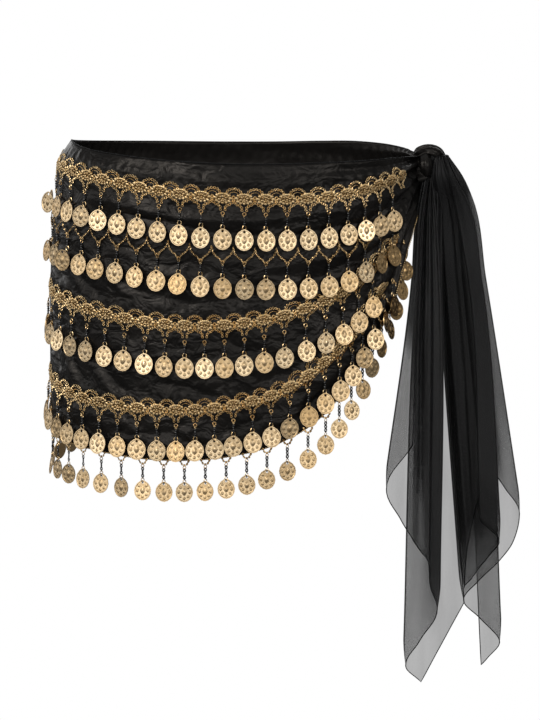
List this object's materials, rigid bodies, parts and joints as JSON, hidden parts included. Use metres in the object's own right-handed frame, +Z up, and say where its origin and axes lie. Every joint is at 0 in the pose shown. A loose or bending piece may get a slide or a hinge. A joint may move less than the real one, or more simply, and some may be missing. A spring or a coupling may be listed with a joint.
{
  "type": "belly dance hip scarf",
  "caption": "Black chiffon hip scarf knotted at one hip, open inside, with gold lace trims, rows of hanging coins and two long free ends.",
  "frame": {"origin": "middle of the opening round the wearer's hips, level with the top edge at the plain hip", "axes": "+Z up; -Y is the front of the hips; +X is the wearer's left hip, where the scarf is knotted"},
  "size_m": [0.4746, 0.2394, 0.541],
  "materials": {
    "wrap_front": "sheer black chiffon",
    "trim_1_front": "gold metallic lace",
    "trim_2_front": "gold metallic lace",
    "trim_3_front": "gold metallic lace",
    "coins_1_front": "pale gold stamped coins on beads and rings",
    "coins_2_front": "pale gold stamped coins on beads and rings",
    "coins_3_front": "pale gold stamped coins on beads and rings",
    "coins_4_front": "pale gold stamped coins on beads and rings",
    "coins_5_front": "pale gold stamped coins on beads and rings",
    "wrap_back": "sheer black chiffon",
    "trim_1_back": "gold metallic lace",
    "trim_2_back": "gold metallic lace",
    "trim_3_back": "gold metallic lace",
    "coins_1_back": "pale gold stamped coins on beads and rings",
    "coins_2_back": "pale gold stamped coins on beads and rings",
    "coins_3_back": "pale gold stamped coins on beads and rings",
    "coins_4_back": "pale gold stamped coins on beads and rings",
    "coins_5_back": "pale gold stamped coins on beads and rings",
    "knot_core": "sheer black chiffon",
    "knot_band": "sheer black chiffon",
    "knot_loop": "sheer black chiffon",
    "tail_front": "sheer black chiffon",
    "tail_back": "sheer black chiffon"
  },
  "bodies": {
    "root": {"wrap_front": "wrap_front", "trim_1_front": "trim_1_front", "trim_2_front": "trim_2_front", "trim_3_front": "trim_3_front", "coins_1_front": "coins_1_front", "coins_2_front": "coins_2_front", "coins_3_front": "coins_3_front", "coins_4_front": "coins_4_front", "coins_5_front": "coins_5_front", "wrap_back": "wrap_back", "trim_1_back": "trim_1_back", "trim_2_back": "trim_2_back", "trim_3_back": "trim_3_back", "coins_1_back": "coins_1_back", "coins_2_back": "coins_2_back", "coins_3_back": "coins_3_back", "coins_4_back": "coins_4_back", "coins_5_back": "coins_5_back", "knot_core": "knot_core", "knot_band": "knot_band", "knot_loop": "knot_loop", "tail_front": "tail_front", "tail_back": "tail_back"}
  },
  "joints": []
}
